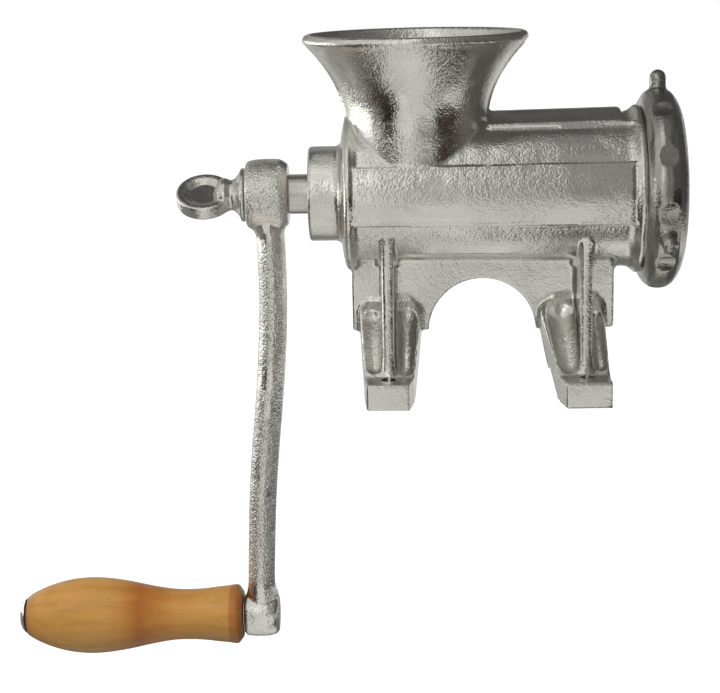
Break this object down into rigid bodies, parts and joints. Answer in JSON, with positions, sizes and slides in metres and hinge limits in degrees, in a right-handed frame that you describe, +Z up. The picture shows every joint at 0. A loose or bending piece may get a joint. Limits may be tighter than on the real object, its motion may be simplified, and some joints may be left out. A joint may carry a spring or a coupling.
{
  "type": "hand crank meat grinder",
  "caption": "Bolt-down hand crank meat grinder: flared hopper on a horizontal barrel, four splayed feet, lugged ring nut, bowed crank arm with a turned wooden grip.",
  "frame": {"origin": "centre of the four foot bolt holes, in the plane of the feet's undersides", "axes": "+X along the barrel towards the outlet, +Z up, -Y towards the side seen with the outlet on the right"},
  "size_m": [0.3287, 0.1025, 0.3079],
  "materials": {
    "tinned_casting": "hot-dip tinned, bright, with a lightly pebbled cast skin",
    "steel": "ground",
    "plated_head": "bright plated",
    "bush_metal": "turned",
    "fibre": "matte vulcanised fibre",
    "dark_washer": "matte black",
    "varnished_wood": "clear varnish, satin to gloss"
  },
  "bodies": {
    "housing": {"body_casting": "tinned_casting", "rear_bush": "bush_metal", "thrust_washer": "fibre", "plate_key": "steel"},
    "screw": {"feed_screw": "tinned_casting", "drive_stud": "steel", "cross_knife": "steel"},
    "plate": {"grinding_plate": "steel"},
    "ring": {"ring_nut": "tinned_casting"},
    "crank": {"crank_arm": "tinned_casting", "grip_spindle": "plated_head", "grip_end_washer": "dark_washer", "grip_inner_washer": "steel"},
    "thumb": {"thumb_screw": "tinned_casting"},
    "grip": {"wooden_grip": "varnished_wood"}
  },
  "joints": [
    {"name": "crank_turn", "type": "hinge", "parent": "housing", "child": "screw", "pos_m": [0, 0, 0.095], "axis": [1, 0, 0], "continuous": true},
    {"name": "plate_slide", "type": "slide", "parent": "housing", "child": "plate", "axis": [1, 0, 0], "range_m": [0, 0.0102]},
    {"name": "ring_turn", "type": "hinge", "parent": "plate", "child": "ring", "pos_m": [0.0818, 0, 0.095], "axis": [1, 0, 0], "range_deg": [0, 1200]},
    {"name": "arm_slide", "type": "slide", "parent": "screw", "child": "crank", "axis": [-1, 0, 0], "range_m": [0, 0.006]},
    {"name": "thumb_turn", "type": "hinge", "parent": "crank", "child": "thumb", "pos_m": [-0.12, 0, 0.095], "axis": [-1, 0, 0], "range_deg": [0, 1440]},
    {"name": "grip_spin", "type": "hinge", "parent": "crank", "child": "grip", "pos_m": [-0.1768, 0, -0.118], "axis": [1, 0, 0], "continuous": true}
  ],
  "couplings": [
    {"joint": "plate_slide", "follows": "ring_turn", "m_per_rad": 0.00047746},
    {"joint": "thumb_turn", "follows": "arm_slide", "rad_per_m": 4188.8}
  ]
}
